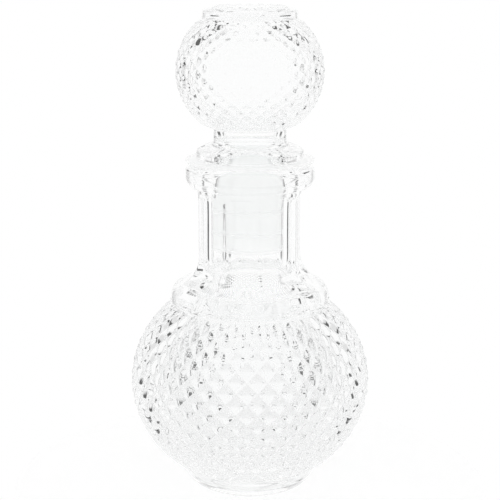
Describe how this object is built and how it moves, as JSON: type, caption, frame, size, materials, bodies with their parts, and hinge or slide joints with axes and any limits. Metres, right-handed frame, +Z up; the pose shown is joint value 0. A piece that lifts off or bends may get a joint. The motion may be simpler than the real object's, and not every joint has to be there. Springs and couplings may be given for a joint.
{
  "type": "decanter",
  "caption": "Round-bodied clear glass decanter with a diamond pattern, a fluted neck, and a hollow globe stopper that lifts out with its plastic seal.",
  "frame": {"origin": "centre of the foot's standing ring, on the surface that the decanter stands on", "axes": "+Z up along the axis of bottle and stopper; one flat of the neck faces -Y"},
  "size_m": [0.09, 0.09, 0.1812],
  "materials": {
    "bottle_glass": "clear polished pressed glass",
    "stopper_glass": "clear polished blown glass",
    "milky_plastic": "translucent milky polyethylene"
  },
  "bodies": {
    "vessel": {"bottle": "bottle_glass"},
    "seal": {"seal_sleeve": "milky_plastic"},
    "globe_stopper": {"stopper": "stopper_glass"}
  },
  "joints": [
    {"name": "stopper_lift", "type": "slide", "parent": "vessel", "child": "seal", "axis": [0, 0, 1], "range_m": [0, 0.045]},
    {"name": "stopper_turn", "type": "hinge", "parent": "seal", "child": "globe_stopper", "pos_m": [0, 0, 0.1258], "axis": [0, 0, 1], "continuous": true}
  ]
}
